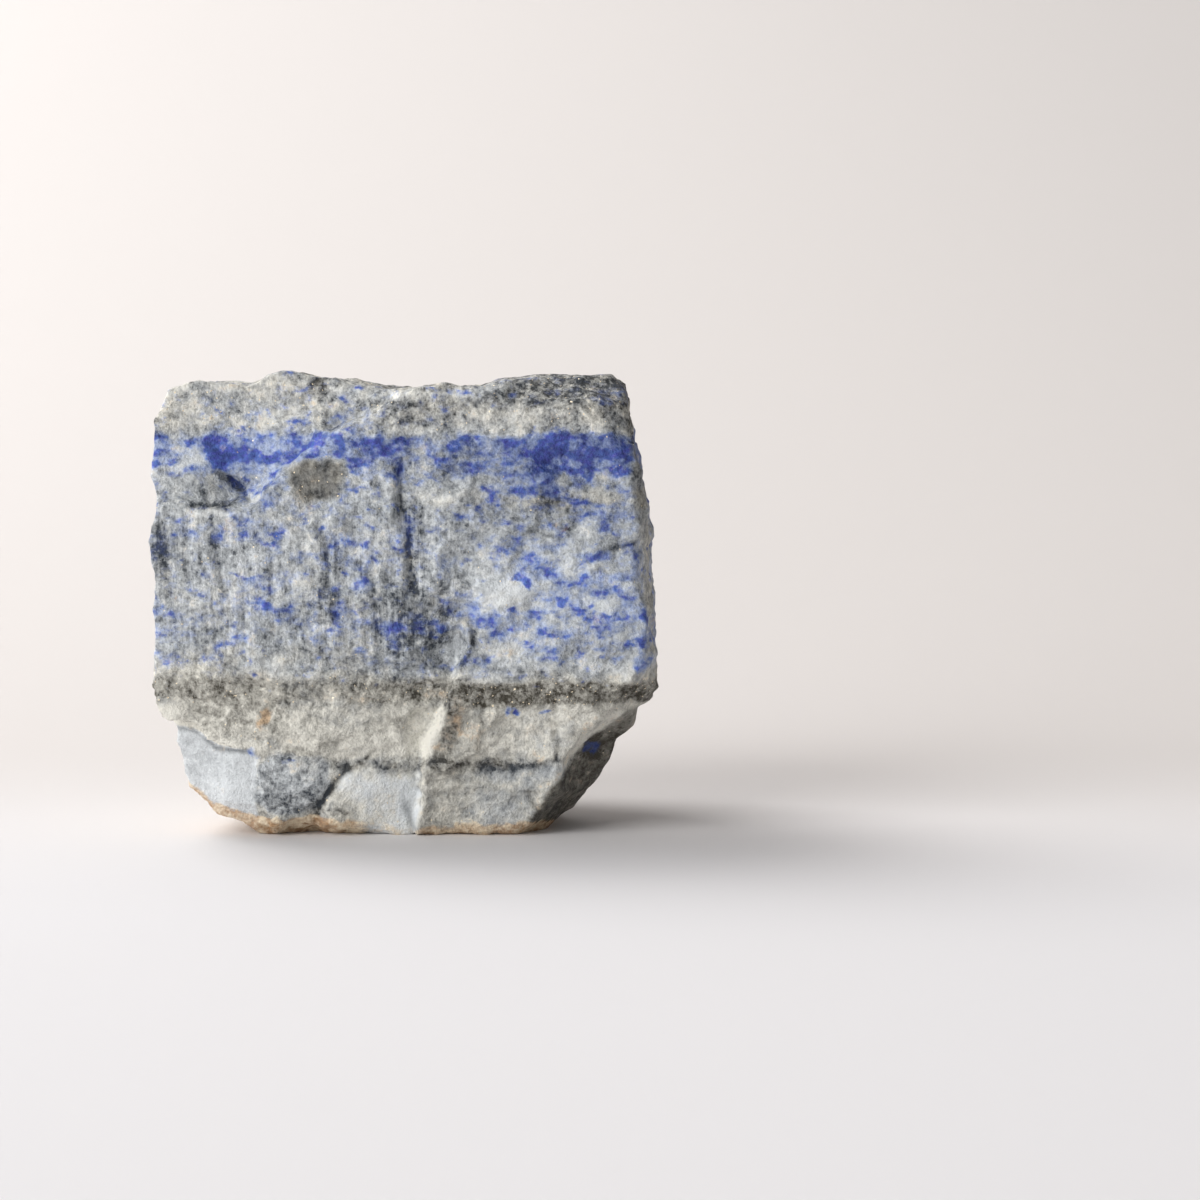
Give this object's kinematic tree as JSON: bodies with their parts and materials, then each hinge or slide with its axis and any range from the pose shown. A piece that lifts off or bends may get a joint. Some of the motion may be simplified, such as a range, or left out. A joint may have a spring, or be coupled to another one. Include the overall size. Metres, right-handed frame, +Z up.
{
  "type": "rough lapis lazuli stone",
  "caption": "Rough banded lapis lazuli: a blocky lump of blue, grey and white stone with a broad split front, a dark band and a flat spot it rests on.",
  "frame": {"origin": "under the middle of the lump's bounding box, on the surface that it rests on", "axes": "+X to the right across the broad front face, +Y back through the lump, away from that face, +Z up across the stone's layers"},
  "size_m": [0.064, 0.0398, 0.0588],
  "materials": {
    "lapis": "rough"
  },
  "bodies": {
    "root": {"lapis_lump": "lapis"}
  },
  "joints": []
}
